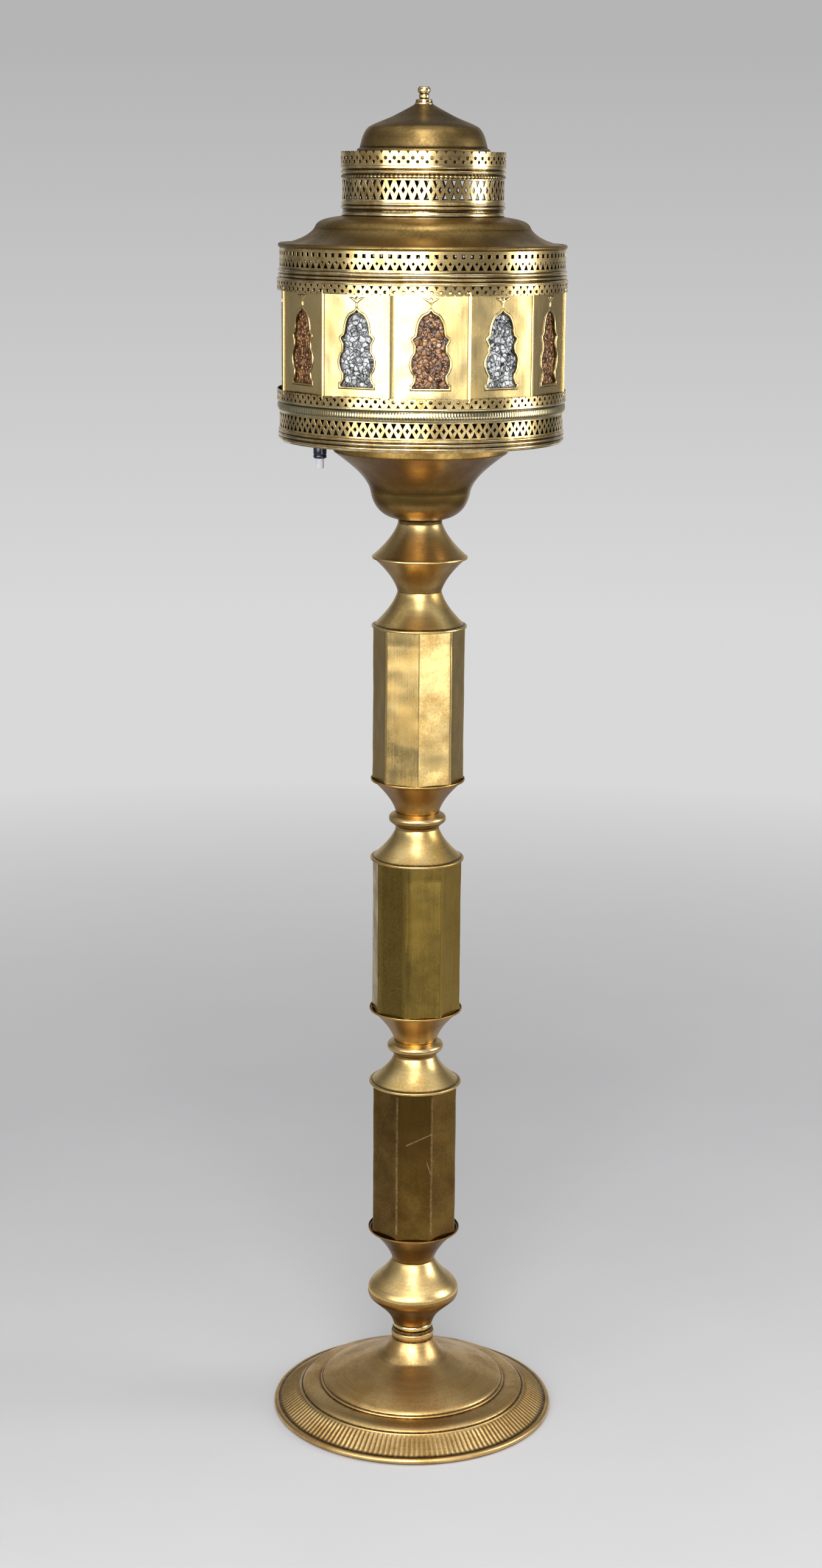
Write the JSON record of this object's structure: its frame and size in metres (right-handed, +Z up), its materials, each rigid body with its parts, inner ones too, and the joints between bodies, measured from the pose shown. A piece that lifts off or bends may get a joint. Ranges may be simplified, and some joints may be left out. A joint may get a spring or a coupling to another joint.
{
  "type": "lantern floor lamp",
  "caption": "Brass floor lamp: a stepped round base, an eight-sided tube column with knops, and a pierced twelve-sided lantern with glass windows, a domed lid and a push switch.",
  "frame": {"origin": "centre of the base on the floor", "axes": "+Z up along the column, -Y toward the front of the lamp, the switch at -X"},
  "size_m": [0.3346, 0.3353, 1.5503],
  "materials": {
    "base_brass": "spun and lacquered, satin with circular lines",
    "cast_iron": "rough",
    "felt": "matt felt",
    "steel": "zinc plated",
    "bushing_plastic": "matt",
    "neck_metal": "bright satin",
    "column_brass": "spun and aged satin",
    "tube_brass": "folded sheet, mottled lacquer",
    "bowl_brass": "spun and darkened",
    "floor_brass": "plain sheet",
    "band_brass": "polished mouldings",
    "reeded_brass": "fine vertical reeding",
    "pierced_brass": "pierced sheet, polished",
    "panel_brass": "embossed sheet, satin",
    "amber_glass": "pebbled amber",
    "clear_glass": "pebbled clear",
    "roof_brass": "spun and darkened",
    "lid_brass": "spun and darkened",
    "finial_brass": "turned and polished",
    "holder_brass": "pressed",
    "porcelain": "glazed",
    "bulb_metal": "threaded cap",
    "bulb_glass": "frosted",
    "switch_black": "gloss",
    "switch_white": "gloss"
  },
  "bodies": {
    "lamp": {"base_shell": "base_brass", "base_ballast": "cast_iron", "base_felt": "felt", "base_nut": "steel", "cord_bushing": "bushing_plastic", "lamp_pipe": "steel", "neck_ring": "neck_metal", "low_knop_bottom": "column_brass", "low_knop_top": "column_brass", "low_cup": "column_brass", "low_tube": "tube_brass", "low_cap": "column_brass", "low_collar": "column_brass", "mid_cup": "column_brass", "mid_tube": "tube_brass", "mid_cap": "column_brass", "high_collar": "column_brass", "top_cup": "column_brass", "top_tube": "tube_brass", "top_cap": "column_brass", "high_knop_bottom": "column_brass", "high_knop_top": "column_brass", "bowl": "bowl_brass", "lantern_floor": "floor_brass", "floor_nut": "steel", "lower_band": "band_brass", "lower_gallery": "pierced_brass", "reeded_ring": "reeded_brass", "lower_trim": "pierced_brass", "panel_1": "panel_brass", "panel_2": "panel_brass", "panel_3": "panel_brass", "panel_4": "panel_brass", "panel_5": "panel_brass", "panel_6": "panel_brass", "panel_7": "panel_brass", "panel_8": "panel_brass", "panel_9": "panel_brass", "panel_10": "panel_brass", "panel_11": "panel_brass", "panel_12": "panel_brass", "amber_panes": "amber_glass", "clear_panes": "clear_glass", "upper_trim": "pierced_brass", "upper_band": "band_brass", "upper_gallery": "pierced_brass", "roof": "roof_brass", "drum_base": "band_brass", "drum_gallery": "pierced_brass", "drum_top": "band_brass", "drum_crown": "pierced_brass", "holder_cap": "holder_brass", "holder_shell": "porcelain", "bulb_base": "bulb_metal", "bulb_glass": "bulb_glass", "switch_body": "switch_black", "switch_nut": "steel"},
    "lid": {"dome": "lid_brass", "finial": "finial_brass"},
    "push_button": {"switch_button": "switch_white"}
  },
  "joints": [
    {"name": "lid_lift", "type": "slide", "parent": "lamp", "child": "lid", "axis": [0, 0, 1], "range_m": [0, 0.12]},
    {"name": "button_press", "type": "slide", "parent": "lamp", "child": "push_button", "axis": [0, 0, 1], "range_m": [0, 0.003], "stiffness_N_per_m": 400, "springref_m": -0.003}
  ]
}
